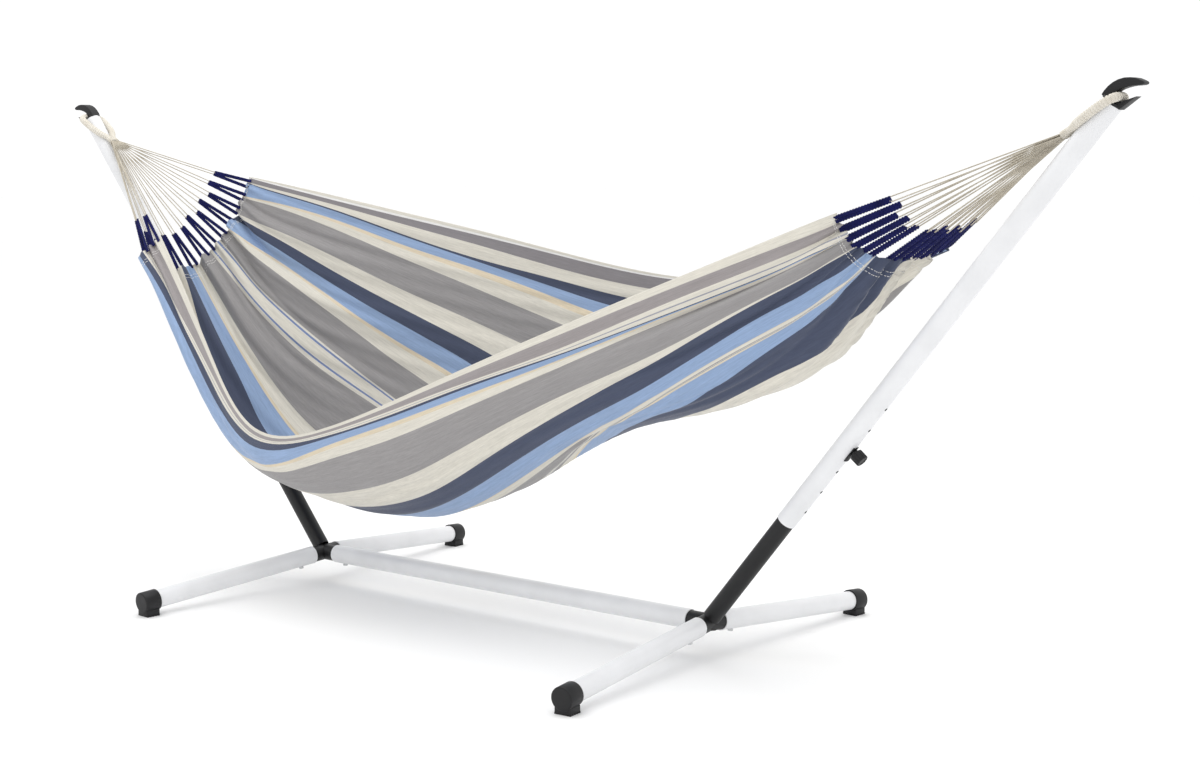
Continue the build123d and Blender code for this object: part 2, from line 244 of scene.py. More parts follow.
# The clew cords take a darker copy of the cream cotton: painted shade on the thin cords.
clew_cotton_painted_shade = twisted_cotton("clew_cotton_painted_shade", (0.4, 0.355, 0.28), (0.66, 0.62, 0.53), 900.0)
# Where each loop's braid is sewn in, as shares of the heading. At the right end the
# braids bunch into a near group and a far group.
SEWN = {"left": [(loop + 0.5) / LOOPS for loop in range(LOOPS)],
        "right": [0.03, 0.09, 0.15, 0.21, 0.27, 0.33,
                  0.48, 0.55, 0.62, 0.69, 0.76, 0.83, 0.9, 0.965]}
STAGGER = (0.0, 0.028, -0.012, 0.018, -0.024, 0.01, -0.004)
braid_tips = {}
for name, side in SIDES.items():
    root = bight(side) + pull(side) * CORDS_START
    across = Vector((0, 1, 0))
    above = across.cross(pull(side)).normalized() * -side
    shares = SEWN[name]
    braid_tips[name] = []
    for loop, edge in enumerate(heading_points(side, shares)):
        tip = edge.lerp(root, BRAID_REACH + STAGGER[loop % len(STAGGER)])
        braid_tips[name].append(tip)
        toward = (root - tip).normalized()
        apart = toward.cross(Vector((side, 0, 0.4))).normalized() * 0.006
        middle = root + across * (shares[loop] - 0.5) * 0.031
        line = [middle + above * 0.003, tip + toward * 0.014 + apart, tip + apart,
                tip - apart, tip + toward * 0.014 - apart, middle - above * 0.003]
        path = soft_line(line)
        cord = round_cords(f"{name}_clew_cord_{loop + 1}", [path], CORD / 2, sides=2)
        cord.data.materials.append(clew_cotton_painted_shade)
        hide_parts(f"{name}_clew_cords")
        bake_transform(cord)
        length = distances([tuple(point) for point in path])[-1]


# Spine tube and its coat: 50 mm steel tube, powder coated in gloss white over the
# faint ripple such a coat has, bolted from below over the stubs of both hubs.
def powder_coat(name, colour, roughness, coat):
    material, tree, shader = plain_shader(name)
    where = add_node(tree, "ShaderNodeTexCoord")
    ripple = add_node(tree, "ShaderNodeTexNoise", Scale=700.0, Detail=2.0)
    haze = add_node(tree, "ShaderNodeTexNoise", Scale=9.0, Detail=5.0)
    tree.links.new(where.outputs["Object"], ripple.inputs["Vector"])
    tree.links.new(where.outputs["Object"], haze.inputs["Vector"])
    bump = add_node(tree, "ShaderNodeBump", Strength=0.12, Distance=0.0002)
    tree.links.new(ripple.outputs["Fac"], bump.inputs["Height"])
    tree.links.new(bump.outputs["Normal"], shader.inputs["Normal"])
    tone = add_node(tree, "ShaderNodeValToRGB")
    tone.color_ramp.elements[0].color = (*[c * 0.93 for c in colour], 1)
    tone.color_ramp.elements[0].position = 0.3
    tone.color_ramp.elements[1].color = (*colour, 1)
    tone.color_ramp.elements[1].position = 0.6
    tree.links.new(haze.outputs["Fac"], tone.inputs[0])
    tree.links.new(tone.outputs["Color"], shader.inputs["Base Color"])
    gloss = add_node(tree, "ShaderNodeMapRange")
    gloss.inputs["To Min"].default_value = roughness
    gloss.inputs["To Max"].default_value = roughness + 0.12
    tree.links.new(haze.outputs["Fac"], gloss.inputs["Value"])
    tree.links.new(gloss.outputs["Result"], shader.inputs["Roughness"])
    shader.inputs["Coat Weight"].default_value = coat
    shader.inputs["Coat Roughness"].default_value = 0.15
    shader.inputs["Specular IOR Level"].default_value = 0.35
    return material


def dress(node, material):
    """Gives a CAD node its finish."""
    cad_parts[node].data.materials.clear()
    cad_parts[node].data.materials.append(material)


WHITE = (0.77, 0.775, 0.79)
white_coat = powder_coat("white_coat", WHITE, 0.3, 0.3)
dress("spine_tube", white_coat)

# Hubs and lower arms: black coated steel stubs, cut and welded to each other, that
# the white tubes slide over.
black_coat = powder_coat("black_coat", (0.009, 0.009, 0.01), 0.38, 0.0)
for name in SIDES:
    dress(f"{name}_hub", black_coat)
    dress(f"{name}_lower_arm", black_coat)


# Hub bolts: zinc-plated hexagon bolts with washers, one up into each tube of a hub.
def zinc_plate(name):
    material, tree, shader = plain_shader(name)
    where = add_node(tree, "ShaderNodeTexCoord")
    spangle = add_node(tree, "ShaderNodeTexVoronoi", Scale=450.0)
    tree.links.new(where.outputs["Object"], spangle.inputs["Vector"])
    tone = add_node(tree, "ShaderNodeValToRGB")
    tone.color_ramp.elements[0].color = (0.42, 0.43, 0.44, 1)
    tone.color_ramp.elements[1].color = (0.66, 0.67, 0.68, 1)
    tree.links.new(spangle.outputs["Distance"], tone.inputs[0])
    tree.links.new(tone.outputs["Color"], shader.inputs["Base Color"])
    shader.inputs["Metallic"].default_value = 1
    shader.inputs["Roughness"].default_value = 0.34
    return material


zinc = zinc_plate("zinc_plate")
for name in SIDES:
    dress(f"{name}_hub_bolts", zinc)

# Foot tubes: four white tubes, splayed and sloping slightly down to the caps.
for name in SIDES:
    for depth in ("near", "far"):
        dress(f"{name}_{depth}_foot_tube", white_coat)


# Foot caps: black moulded sockets, each on a ribbed block that stands flat on the floor.
def moulded(name, colour, roughness):
    material, tree, shader = plain_shader(name)
    where = add_node(tree, "ShaderNodeTexCoord")
    grain = add_node(tree, "ShaderNodeTexNoise", Scale=1400.0, Detail=3.0)
    haze = add_node(tree, "ShaderNodeTexNoise", Scale=30.0, Detail=4.0)
    tree.links.new(where.outputs["Object"], grain.inputs["Vector"])
    tree.links.new(where.outputs["Object"], haze.inputs["Vector"])
    bump = add_node(tree, "ShaderNodeBump", Strength=0.25, Distance=0.0002)
    tree.links.new(grain.outputs["Fac"], bump.inputs["Height"])
    tree.links.new(bump.outputs["Normal"], shader.inputs["Normal"])
    tone = add_node(tree, "ShaderNodeValToRGB")
    tone.color_ramp.elements[0].color = (*[c * 0.7 for c in colour], 1)
    tone.color_ramp.elements[1].color = (*[c * 1.5 for c in colour], 1)
    tree.links.new(haze.outputs["Fac"], tone.inputs[0])
    tree.links.new(tone.outputs["Color"], shader.inputs["Base Color"])
    gloss = add_node(tree, "ShaderNodeMapRange")
    gloss.inputs["To Min"].default_value = roughness - 0.08
    gloss.inputs["To Max"].default_value = roughness + 0.12
    tree.links.new(haze.outputs["Fac"], gloss.inputs["Value"])
    tree.links.new(gloss.outputs["Result"], shader.inputs["Roughness"])
    shader.inputs["Specular IOR Level"].default_value = 0.3
    return material


black_plastic = moulded("black_plastic", (0.009, 0.009, 0.01), 0.45)


def turned(profile, segments=48):
    """A shape turned about Z from a profile of (radius, height) points."""
    shape = bmesh.new()
    corners = [shape.verts.new((radius, 0, height)) for radius, height in profile]
    edges = [shape.edges.new(pair) for pair in zip(corners, corners[1:])]
    bmesh.ops.spin(shape, geom=corners + edges, cent=(0, 0, 0), axis=(0, 0, 1),
                   angle=2 * math.pi, steps=segments, use_merge=True)
    bmesh.ops.remove_doubles(shape, verts=shape.verts, dist=1e-6)
    bmesh.ops.recalc_face_normals(shape, faces=shape.faces)
    return shape


def finished(name, shape, body, material, slot, *stands_for):
    """Makes a piece of a shape, with its body, finish and the nodes it stands for."""
    mesh = bpy.data.meshes.new(name)
    shape.to_mesh(mesh)
    shape.free()
    mesh.shade_smooth()
    mesh.set_sharp_from_angle(angle=math.radians(35))
    mesh.materials.append(material)
    piece = bpy.data.objects.new(name, mesh)
    bpy.context.scene.collection.objects.link(piece)
    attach(piece, body)
    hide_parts(*stands_for)
    return piece


def add_block(shape, size, centre, edge, tilt=None):
    """A box with rounded edges inside a shape."""
    block = bmesh.new()
    bmesh.ops.create_cube(block, size=1)
    bmesh.ops.scale(block, vec=size, verts=block.verts)
    bmesh.ops.bevel(block, geom=block.edges, offset=edge, affect="EDGES", segments=3,
                    profile=0.5, material=-1)
    bmesh.ops.translate(block, vec=centre, verts=block.verts)
    if tilt:
        bmesh.ops.transform(block, matrix=tilt, verts=block.verts)
    mesh = bpy.data.meshes.new("block")
    block.to_mesh(mesh)
    block.free()
    shape.from_mesh(mesh)
    bpy.data.meshes.remove(mesh)


CAP_LENGTH = 0.048
SOLE_RIBS, RIB_PITCH = 5, 0.0084
CAP_PROFILE = ((0.0252, 0), (0.0275, 0), (0.0286, 0.0007), (0.029, 0.002), (0.029, 0.0445),
               (0.0284, 0.0466), (0.0268, 0.0478), (0.024, 0.048), (0.0001, 0.048),
               (0.0001, 0.041), (0.0252, 0.041), (0.0252, 0))
upright = Vector((0, 0, 1))
for name, side in SIDES.items():
    for depth_name, depth in (("near", -1), ("far", 1)):
        hub = Vector((side * HUB_OUT, 0, HUB_UP))
        reach = Vector((side * 0.052, depth * 0.622, -0.048))
        direction = reach.normalized()
        level = Vector((direction.x, direction.y, 0)).normalized()
        sideways = upright.cross(direction)
        cap = turned(CAP_PROFILE)
        turn = Matrix((sideways.normalized(), direction.cross(sideways).normalized(), direction))
        start = hub + reach - direction * CAP_LENGTH
        place = Matrix.Translation(start) @ turn.transposed().to_4x4()
        bmesh.ops.transform(cap, matrix=place, verts=cap.verts)
        middle = hub + reach - direction * CAP_LENGTH / 2
        turn = Matrix((level, upright.cross(level), upright))
        stand = Matrix.Translation((middle.x, middle.y, 0)) @ turn.transposed().to_4x4()
        add_block(cap, (0.041, 0.0445, 0.017), (0, 0, 0.0112), 0.003, stand)
        for rib in range(SOLE_RIBS):
            add_block(cap, (0.0056, 0.0455, 0.005),
                      ((rib - SOLE_RIBS // 2) * RIB_PITCH, 0, 0.0025), 0.0008, stand)
        node = f"{name}_{depth_name}_foot_cap"
        finished(f"{name}_{depth_name}_cap", cap, "base", black_plastic, "black_plastic", node)

# Arm tubes: white tubes with six adjustment holes below, over the black lower arms. Inside the
# bore's radius the colour is painted near-black: painted shade in the bore and the holes' walls.
ARM_BORE = 0.0246
arm_coat = powder_coat("arm_coat", WHITE, 0.3, 0.3)
tree = arm_coat.node_tree
shader = tree.nodes["Principled BSDF"]
where = add_node(tree, "ShaderNodeTexCoord")
mirrored = add_node(tree, "ShaderNodeVectorMath", operation="ABSOLUTE")
on_axis = add_node(tree, "ShaderNodeMapping")
on_axis.inputs["Rotation"].default_value = (0, ARM_RISE - math.pi / 2, 0)
from_centre = -HUB_OUT * math.sin(ARM_RISE) + HUB_UP * math.cos(ARM_RISE)
on_axis.inputs["Location"].default_value = (from_centre, 0, 0)
flattened = add_node(tree, "ShaderNodeVectorMath", operation="MULTIPLY")
flattened.inputs[1].default_value = (1, 1, 0)
from_axis = add_node(tree, "ShaderNodeVectorMath", operation="LENGTH")
inside = add_node(tree, "ShaderNodeMath", operation="LESS_THAN")
inside.inputs[1].default_value = ARM_BORE
# Painted shade: inside the bore radius the coat colour is mixed to near-black, so the holes read as
# shaded hollows.
bore_painted_shade = add_node(tree, "ShaderNodeMix", data_type="RGBA")
bore_painted_shade.inputs[7].default_value = (0.012, 0.012, 0.013, 1)
coat_colour = shader.inputs["Base Color"].links[0].from_socket
tree.links.new(where.outputs["Object"], mirrored.inputs[0])
tree.links.new(mirrored.outputs["Vector"], on_axis.inputs["Vector"])
tree.links.new(on_axis.outputs["Vector"], flattened.inputs[0])
tree.links.new(flattened.outputs["Vector"], from_axis.inputs[0])
tree.links.new(from_axis.outputs["Value"], inside.inputs[0])
tree.links.new(inside.outputs[0], bore_painted_shade.inputs["Factor"])
tree.links.new(coat_colour, bore_painted_shade.inputs[6])
tree.links.new(bore_painted_shade.outputs[2], shader.inputs["Base Color"])
for name in SIDES:
    dress(f"{name}_arm_tube", arm_coat)
    dress(f"{name}_lock_pin", zinc)


# Saddles: thin curved black washers that lie along each arm's underside, so that the
# knob presses on them and not on the tube's coat.
def on_arm(side, distance):
    """Places a shape made upright: its x out of the arm's underside, its z up the arm."""
    up_arm = Vector((side * math.cos(ARM_RISE), 0, math.sin(ARM_RISE)))
    under = Vector((side * math.sin(ARM_RISE), 0, -math.cos(ARM_RISE)))
    origin = Vector((side * HUB_OUT, 0, HUB_UP)) + up_arm * distance
    turn = Matrix((under, up_arm.cross(under), up_arm)).transposed().to_4x4()
    return Matrix.Translation(origin) @ turn


LOCK_AT = 0.626
SADDLE_WRAP = math.radians(44)
SADDLE_EDGE = ((0.0252, 0, -0.0295), (0.0252, 0, 0.0125), (0.0279, 0, 0.0125), (0.0279, 0, -0.0295))
for name, side in SIDES.items():
    saddle = bmesh.new()
    strip = saddle.faces.new([saddle.verts.new(corner) for corner in SADDLE_EDGE])
    bmesh.ops.rotate(saddle, verts=saddle.verts, cent=(0, 0, 0),
                     matrix=Matrix.Rotation(-SADDLE_WRAP / 2, 3, "Z"))
    bmesh.ops.spin(saddle, geom=[strip, *strip.edges, *strip.verts], cent=(0, 0, 0),
                   axis=(0, 0, 1), angle=SADDLE_WRAP, steps=12)
    bmesh.ops.remove_doubles(saddle, verts=saddle.verts, dist=1e-6)
    bmesh.ops.recalc_face_normals(saddle, faces=saddle.faces)
    bmesh.ops.transform(saddle, matrix=on_arm(side, LOCK_AT), verts=saddle.verts)
    finished(f"{name}_saddle_washer", saddle, f"{name}_arm", black_plastic, "black_plastic",
             f"{name}_saddle")

# Lock knobs: fluted black barrels moulded on the lock bolts, with a short neck that
# presses the curved saddle washer on the tube.
FLUTES, FLUTE_DEPTH, FLUTED_FROM = 12, 0.09, 0.0135
KNOB_PROFILE = ((0.0001, 0.0285), (0.0088, 0.0285), (0.009, 0.029), (0.009, 0.0328),
                (0.0145, 0.0334), (0.0156, 0.034), (0.016, 0.0352), (0.016, 0.0555),
                (0.0152, 0.0572), (0.0138, 0.058), (0.0095, 0.0578), (0.0085, 0.0568),
                (0.0001, 0.0568))
for name, side in SIDES.items():
    knob = turned(KNOB_PROFILE, 96)
    for vertex in knob.verts:
        flat = Vector((vertex.co.x, vertex.co.y))
        if flat.length > FLUTED_FROM:
            wave = max(0, math.cos(FLUTES * math.atan2(flat.y, flat.x)))
            flat *= 1 - FLUTE_DEPTH * wave ** 2
            vertex.co.x, vertex.co.y = flat
    sideways = Matrix.Rotation(math.radians(90), 4, "Y")
    bmesh.ops.transform(knob, matrix=on_arm(side, LOCK_AT) @ sideways, verts=knob.verts)
    finished(f"{name}_knob", knob, f"{name}_lock", black_plastic, "black_plastic",
             f"{name}_lock_knob")

# Hooks: black moulded ends, plugged into the arm tubes. A curved horn above and a fin
# below make the mouth that the end loop lies in.
HORN = ((-13.3, 21.2), (-6, 27), (5, 33), (17, 37.2), (30, 39), (44, 38), (57, 34), (68, 28.6),
        (77, 21), (81, 17), (82, 13.6), (79.5, 11.2), (75, 11), (66, 13.2), (58, 15.5), (48, 17.2),
        (38, 18), (30, 18), (22, 17), (15, 12.8), (12, 5), (15, -2.8), (22, -7), (40, -7.4),
        (58, -7.5), (36, -14.8), (14.4, -21.8))
HALF_WIDTH = 0.0148
PLUG_PROFILE = ((0.0001, -0.055), (0.0222, -0.055), (0.0228, -0.054), (0.0228, 0), (0.0242, 0),
                (0.025, 0.0009), (0.025, 0.0046), (0.0242, 0.0059), (0.0001, 0.006))
for name, side in SIDES.items():
    end, out, up = hook_axes(side)
    place = Matrix.Translation(end) @ Matrix((out, up, out.cross(up))).transposed().to_4x4()
    hook = bmesh.new()
    face = hook.faces.new([hook.verts.new((x / 1000, y / 1000, -HALF_WIDTH)) for x, y in HORN])
    walls = bmesh.ops.extrude_face_region(hook, geom=[face])["geom"]
    raised = [part for part in walls if isinstance(part, bmesh.types.BMVert)]
    bmesh.ops.translate(hook, vec=(0, 0, 2 * HALF_WIDTH), verts=raised)
    bmesh.ops.recalc_face_normals(hook, faces=hook.faces)
    rims = [edge for edge in hook.edges if abs(edge.verts[0].co.z - edge.verts[1].co.z) < 1e-6]
    bmesh.ops.bevel(hook, geom=rims, offset=0.0022, affect="EDGES", segments=3, profile=0.5,
                    material=-1)
    bmesh.ops.transform(hook, matrix=place, verts=hook.verts)
    plug = turned(PLUG_PROFILE)
    bmesh.ops.transform(plug, matrix=on_arm(side, ARM_LENGTH), verts=plug.verts)
    mesh = bpy.data.meshes.new("plug")
    plug.to_mesh(mesh)
    plug.free()
    hook.from_mesh(mesh)
    bpy.data.meshes.remove(mesh)
    finished(f"{name}_hook_moulding", hook, f"{name}_arm", black_plastic, "black_plastic",
             f"{name}_hook")

# End loops: the clew cords doubled into an eye over each hook and whipped all round
# with cream cord, in tight turns that show as ribs, down to the seizing.
cream_cotton = twisted_cotton("cream_cotton", (0.66, 0.61, 0.52), (0.83, 0.81, 0.75), 900.0)
LEG = ((0, 36), (50, 36.5), (95, 27), (121, 8.2), (133.5, 8.2))
WHIPPED_RADIUS, WHIP_PITCH = 0.0103, 0.0072
SEIZING_LENGTH, SEIZING_STEPS = 0.016, 36
for name, side in SIDES.items():
    across = Vector((0, 1, 0))
    route = [(reach, -spread) for reach, spread in reversed(LEG)] + list(LEG)
    line = [bight(side) + pull(side) * reach / 1000 + across * spread / 1000
            for reach, spread in route]
    smooth = soft_line(line)
    run = distances([tuple(point) for point in smooth])
    end = run[-1]
    fine = [Vector([np.interp(w, run, [point[axis] for point in smooth]) for axis in range(3)])
            for w in np.arange(0, end, 0.0008)]

    def whipping(distance):
        """The whipping's thickness: narrower next to the seizing, and ribbed by its turns."""
        taper = min(1, 0.74 + min(distance, end - distance) * 8)
        return taper * (0.77 + 0.23 * abs(math.sin(math.pi * distance / WHIP_PITCH)) ** 0.7)

    loop = round_cords(f"{name}_whipped_loop", [fine], WHIPPED_RADIUS, whipping, sides=5)
    loop.data.materials.append(cream_cotton)
    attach(loop, f"{name}_arm")
    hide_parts(f"{name}_end_loop")
    ribs = [(0.0088 + 0.0011 * abs(math.sin(math.pi * i / 6)), 0.0003 + 0.0154 * i / SEIZING_STEPS)
            for i in range(SEIZING_STEPS + 1)]
    seizing = turned([(0.0001, 0), *ribs, (0.0001, SEIZING_LENGTH)])
    bmesh.ops.scale(seizing, vec=(1.8, 1, 1), verts=seizing.verts)
    turn = Matrix((across, pull(side).cross(across), pull(side))).transposed().to_4x4()
    place = Matrix.Translation(bight(side) + pull(side) * SEIZING_START) @ turn
    bmesh.ops.transform(seizing, matrix=place, verts=seizing.verts)
    finished(f"{name}_seizing_turns", seizing, f"{name}_arm", cream_cotton, "cream_cord",
             f"{name}_seizing")

# Braids: navy cotton, three strands each. Every braid is a V: its tip holds one clew
# loop and its two legs are sewn into the cloth's heading.
navy_cotton = twisted_cotton("navy_cotton", (0.004, 0.005, 0.045), (0.012, 0.016, 0.14), 500.0,
                             sheen=0.02)
PLAIT_PITCH, PLAIT_STEP = 0.022, 0.002
PLAIT_WIDE, PLAIT_THICK, STRAND_RADIUS = 0.0029, 0.0018, 0.0025
for name, side in SIDES.items():
    reach = 0.015 if side < 0 else 0.0095
    feet = heading_points(side, [at + split for at in SEWN[name] for split in (-reach, reach)])
    strands = []
    for leg, foot in enumerate(feet):
        tip = braid_tips[name][leg // 2]
        direction = (foot - tip).normalized()
        foot = foot + direction * 0.012
        beside = (feet[leg | 1] - feet[leg & ~1]).normalized()
        start = tip - direction * 0.004 + beside * (0.0034 if leg % 2 else -0.0034)
        thick = direction.cross(beside).normalized()
        wide = thick.cross(direction).normalized()
        length = (foot - start).length
        for strand in range(3):
            points = []
            for step in range(int(length / PLAIT_STEP) + 1):
                run = step * PLAIT_STEP
                phase = 2 * math.pi * (run / PLAIT_PITCH + strand / 3)
                points.append(start + (foot - start) * run / length
                              + wide * PLAIT_WIDE * math.sin(phase)
                              + thick * PLAIT_THICK * math.sin(2 * phase))
            strands.append(points)
    braid = round_cords(f"{name}_navy_braids", strands, STRAND_RADIUS, sides=1)
    braid.data.materials.append(navy_cotton)
    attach(braid, "hammock" if side < 0 else "right_braid")
    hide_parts(f"{name}_braids")

# Cloth: one woven cotton sheet, striped along its length. Both ends are gathered on
# the braids behind a hem, the rims are selvedges, and creases take up some stripes.
ROWS, COLUMNS = 148, 300
# The flat width is the sum of the stripes. The flat length is a low guess: the lines
# that carry the cloth are 2.4 to 2.9 m long as they hang.
FLAT = (1.54, 2.35)
STRIPES_WIDTH = 1540
# Stripe widths in millimetres, from the near rim to the middle and on to the far rim.
NEAR_HALF = (
    ("cream", 34), ("taupe", 62), ("cream", 22), ("thread", 3), ("cream", 7), ("thread", 3),
    ("cream", 15), ("navy", 45),
    ("sky", 40), ("sand", 16), ("cream", 44), ("grey", 110), ("cream", 60), ("navy", 50), ("sky", 45),
    ("sand", 14), ("cream", 46), ("grey", 118), ("cream", 16), ("blue thread", 3), ("cream", 6),
    ("blue thread", 3), ("cream", 8),
)
FAR_HALF = (
    ("cream", 22), ("blue thread", 4), ("cream", 10), ("grey", 118), ("cream", 46), ("sand", 14),
    ("sky", 45), ("navy", 50),
    ("cream", 60), ("grey", 110), ("cream", 44), ("sand", 16), ("sky", 40), ("navy", 45), ("cream", 50),
    # The far rim's taupe stripe takes a darker copy of the taupe yarn: painted shade.
    ("taupe_painted_shade", 62), ("white", 12), ("thread", 3), ("cream", 8), ("thread", 3), ("cream", 8),
)
# Where each stripe ends across the hung cloth, from the near rim, at ten equal steps
# from the left end to the right end. Where two stripes end together, a crease hides one.
EDGES = (
    (34, (0.035, 0.025, 0.012, 0.006, 0.005, 0.008, 0.014, 0.02, 0.022, 0.032, 0.05)),
    (96, (0.1, 0.068, 0.03, 0.014, 0.01, 0.018, 0.034, 0.052, 0.054, 0.068, 0.09)),
    (146, (0.11, 0.075, 0.047, 0.02, 0.015, 0.025, 0.04, 0.064, 0.08, 0.1, 0.135)),
    (191, (0.12, 0.09, 0.065, 0.036, 0.02, 0.029, 0.044, 0.066, 0.082, 0.102, 0.137)),
    (231, (0.19, 0.2, 0.15, 0.075, 0.034, 0.039, 0.056, 0.075, 0.084, 0.104, 0.139)),
    (291, (0.23, 0.22, 0.17, 0.095, 0.06, 0.068, 0.08, 0.092, 0.094, 0.11, 0.145)),
    (401, (0.31, 0.27, 0.215, 0.165, 0.145, 0.157, 0.159, 0.167, 0.171, 0.164, 0.212)),
    (461, (0.385, 0.335, 0.275, 0.245, 0.226, 0.23, 0.219, 0.21, 0.188, 0.167, 0.215)),
    (511, (0.42, 0.39, 0.34, 0.305, 0.288, 0.28, 0.277, 0.27, 0.242, 0.217, 0.282)),
    (556, (0.455, 0.44, 0.395, 0.355, 0.344, 0.334, 0.342, 0.327, 0.281, 0.269, 0.345)),
    (616, (0.49, 0.48, 0.44, 0.41, 0.405, 0.385, 0.375, 0.348, 0.29, 0.28, 0.354)),
    (734, (0.56, 0.585, 0.57, 0.54, 0.5, 0.46, 0.42, 0.351, 0.2915, 0.2815, 0.3555)),
    (806, (0.64, 0.655, 0.635, 0.585, 0.54, 0.485, 0.43, 0.354, 0.293, 0.283, 0.357)),
    (924, (0.70, 0.735, 0.715, 0.66, 0.61, 0.53, 0.44, 0.357, 0.2945, 0.2845, 0.3585)),
    (984, (0.72, 0.765, 0.75, 0.705, 0.665, 0.59, 0.47, 0.362, 0.296, 0.286, 0.36)),
    (1029, (0.765, 0.8, 0.78, 0.745, 0.705, 0.64, 0.54, 0.42, 0.365, 0.317, 0.366)),
    (1079, (0.79, 0.83, 0.813, 0.782, 0.75, 0.7, 0.61, 0.5, 0.43, 0.43, 0.62)),
    (1139, (0.8, 0.85, 0.848, 0.822, 0.798, 0.77, 0.745, 0.72, 0.7, 0.7, 0.8)),
    (1249, (0.888, 0.92, 0.915, 0.893, 0.87, 0.845, 0.815, 0.79, 0.78, 0.78, 0.86)),
    (1309, (0.892, 0.93, 0.937, 0.922, 0.912, 0.896, 0.868, 0.85, 0.84, 0.84, 0.89)),
    (1349, (0.965, 0.963, 0.958, 0.942, 0.928, 0.915, 0.895, 0.88, 0.875, 0.875, 0.915)),
    (1394, (0.966, 0.966, 0.961, 0.945, 0.934, 0.934, 0.925, 0.915, 0.912, 0.912, 0.935)),
    (1444, (0.968, 0.972, 0.972, 0.967, 0.962, 0.957, 0.953, 0.95, 0.95, 0.95, 0.96)),
    (1506, (0.99, 0.985, 0.982, 0.982, 0.983, 0.985, 0.985, 0.985, 0.985, 0.985, 0.985)),
)
# Creases: the share across the cloth at the left end, middle and right end, how deep,
# how wide, and whether they run in from the left end or the right end.
CREASES = (
    ((0.89, 0.89, 0.86), 0.010, 0.011, "left"), ((0.795, 0.7, 0.6), 0.012, 0.012, "left"),
    ((0.966, 0.93, 0.9), 0.006, 0.009, "left"), ((0.71, 0.56, 0.5), 0.009, 0.010, "left"),
    ((0.6, 0.49, 0.45), 0.008, 0.012, "left"),
    ((0.49, 0.36, 0.3), 0.010, 0.012, "left"), ((0.115, 0.02, 0.05), 0.009, 0.010, "left"),
    ((0.1, 0.035, 0.139), -0.017, 0.010, "right"), ((0.2, 0.2, 0.213), -0.010, 0.008, "right"),
    ((0.4, 0.37, 0.356), -0.016, 0.012, "right"), ((0.6, 0.55, 0.5), -0.010, 0.012, "right"),
    ((0.8, 0.75, 0.7), -0.010, 0.012, "right"), ((0.9, 0.88, 0.85), -0.008, 0.012, "right"),
)
carried = [[line[0]] + [(x, y, z) for x, (y, z) in zip(STATIONS, line[1:-1])] + [line[-1]]
           for line in CLOTH_LINES]
carried = np.array(carried)
knots = np.mean([distances(line) for line in carried], axis=0)
steps = np.linspace(0, 1, ROWS + 1)
steps = steps - 0.75 * np.sin(2 * math.pi * steps) / (2 * math.pi)
along = knots[-1] * steps
lines = np.array([bend_through(knots, line, along) for line in carried])
stripe_ends = bend_through(np.linspace(0, 1, 11), np.array([places for edge, places in EDGES]).T,
                           steps)
room = 0.0002 * np.arange(1, len(EDGES) + 1)
stripe_ends = np.maximum.accumulate(stripe_ends, axis=1) + room
stripe_ends = np.clip(stripe_ends, room, 1 - room[::-1])
flat_edges = [0] + [edge for edge, places in EDGES] + [STRIPES_WIDTH]
flat_columns = np.linspace(0, STRIPES_WIDTH, COLUMNS + 1)
share = np.array([np.interp(flat_columns, flat_edges, [0, *ends, 1]) for ends in stripe_ends])
surface = np.zeros((ROWS + 1, COLUMNS + 1, 3))
for row in range(ROWS + 1):
    section = lines[:, row]
    fine = bend_through(distances(section), section, np.linspace(0, distances(section)[-1], 600))
    run = distances(fine)
    for axis in range(3):
        surface[row, :, axis] = np.interp(share[row] * run[-1], run, fine[:, axis])

distance = along[:, None]
from_left, from_right = distance, knots[-1] - distance
surface[..., 2] += (0.012 * np.exp(-(share / 0.06) ** 2)
                    * np.exp(-((steps[:, None] - 0.68) / 0.2) ** 2))
lengthwise = np.gradient(surface, axis=0)
lengthwise /= np.linalg.norm(lengthwise, axis=2)[..., None]
normal = np.cross(np.gradient(surface, axis=1), lengthwise)
normal /= np.linalg.norm(normal, axis=2)[..., None]
edge_quiet = np.clip(np.minimum(share, 1 - share) * 12, 0.25, 1)
gathers = 0.0035 * np.cos(2 * math.pi * 2 * LOOPS * share)
gathers = gathers * (np.exp(-from_left / 0.09) + np.exp(-from_right / 0.09))
# How many folds across, where they start, how deep they are and how far they reach.
FOLD_WAVES = ((6, 2.3, 0.004, 1.0), (9, 0.4, 0.006, 0.5), (14, 1.9, 0.005, 0.4),
              (21, 4.1, 0.0035, 0.3))
folds = 0
for count, phase, depth, fade in FOLD_WAVES:
    wave = np.sin(2 * math.pi * count * share + phase + 0.6 * np.sin(5 * distance))
    folds = folds + depth * wave * (np.exp(-from_left / fade) + np.exp(-from_right / fade))
ripples = (0.0012 * np.sin(2 * math.pi * 17 * share + 3 * distance)
           + 0.001 * np.sin(2 * math.pi * 31 * share - 2.2 * distance + 1))
creases = 0
for places, depth, width, end in CREASES:
    centre = np.interp(steps, (0, 0.5, 1), places)[:, None]
    inward = from_left if end == "left" else from_right
    creases = (creases + depth * np.exp(-np.abs((share - centre) / width) ** 1.5)
               * (0.15 + 0.85 * np.exp(-(inward / 0.75) ** 2)) * (inward < 1.9))
surface += normal * ((gathers + folds + ripples) * edge_quiet + creases)[..., None]
scallop = 0.006 * (0.5 - 0.5 * np.cos(2 * math.pi * 2 * LOOPS * share)) - 0.002
pulled = scallop * (np.exp(-from_left / 0.02) - np.exp(-from_right / 0.02))
surface += lengthwise * pulled[..., None]

